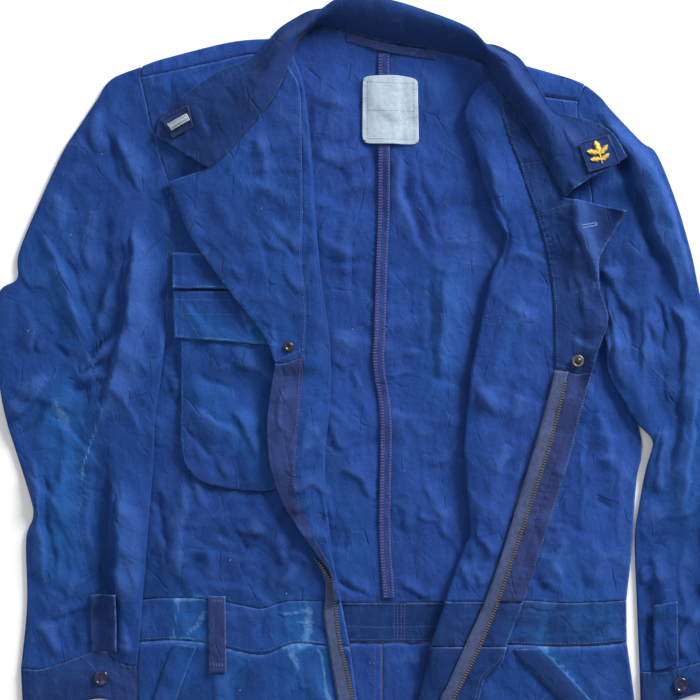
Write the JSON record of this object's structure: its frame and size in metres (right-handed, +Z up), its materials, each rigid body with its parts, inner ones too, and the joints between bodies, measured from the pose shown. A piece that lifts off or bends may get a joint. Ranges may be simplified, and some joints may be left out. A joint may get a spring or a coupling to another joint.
{
  "type": "boiler suit",
  "caption": "Long-sleeved woven boiler suit laid flat on its back, unzipped, both fronts turned outwards over the sleeves' roots so that the inside of the back shows.",
  "frame": {"origin": "centre of the bounding box at the surface that the suit lies on", "axes": "+Y from the hems towards the collar, +X towards the wearer's left sleeve, +Z up out of the surface, towards the open front"},
  "size_m": [0.7528, 1.7414, 0.0286],
  "materials": {
    "cloth": "worn cotton twill, matte",
    "faced": "darker cotton twill, matte",
    "tape": "woven zip tape, matte",
    "label": "plain woven label, bare",
    "gold": "embroidery thread, soft sheen",
    "silver": "embroidery thread, soft sheen",
    "button": "glossy",
    "brass": "aged, satin",
    "snap": "dark plated, satin"
  },
  "bodies": {
    "suit": {"back": "cloth", "back_seam_strip": "faced", "bar_badge": "silver", "belt_loop": "faced", "chest_pocket": "cloth", "collar": "faced", "cuff_button_left": "button", "cuff_button_right": "button", "cuff_left": "cloth", "cuff_right": "cloth", "facing_left": "faced", "facing_right": "faced", "fly_left": "cloth", "front_left": "cloth", "front_placket_left": "faced", "front_placket_right": "faced", "front_right": "cloth", "hanger_loop": "faced", "hip_pocket_welt_left": "faced", "hip_pocket_welt_right": "faced", "label": "label", "leaf_badge": "gold", "name_tape": "cloth", "patch_left": "cloth", "patch_right": "cloth", "pocket_flap": "cloth", "sleeve_left": "cloth", "sleeve_placket_left": "faced", "sleeve_placket_right": "faced", "sleeve_right": "cloth", "snap_socket": "snap", "snap_stud": "snap", "trouser_back_left": "cloth", "trouser_back_right": "cloth", "trouser_front_left": "cloth", "trouser_front_right": "cloth", "waistband_back": "faced", "waistband_front_left": "cloth", "waistband_front_right": "cloth", "zip_slider": "brass", "zip_tape_left": "tape", "zip_tape_right": "tape"},
    "zip_pull": {"zip_pull": "brass"}
  },
  "joints": [
    {"name": "zip_pull_hinge", "type": "hinge", "parent": "suit", "child": "zip_pull", "pos_m": [0.01218, -0.01325, 0.01791], "axis": [-1, 0, 0], "range_deg": [0, 160]}
  ]
}
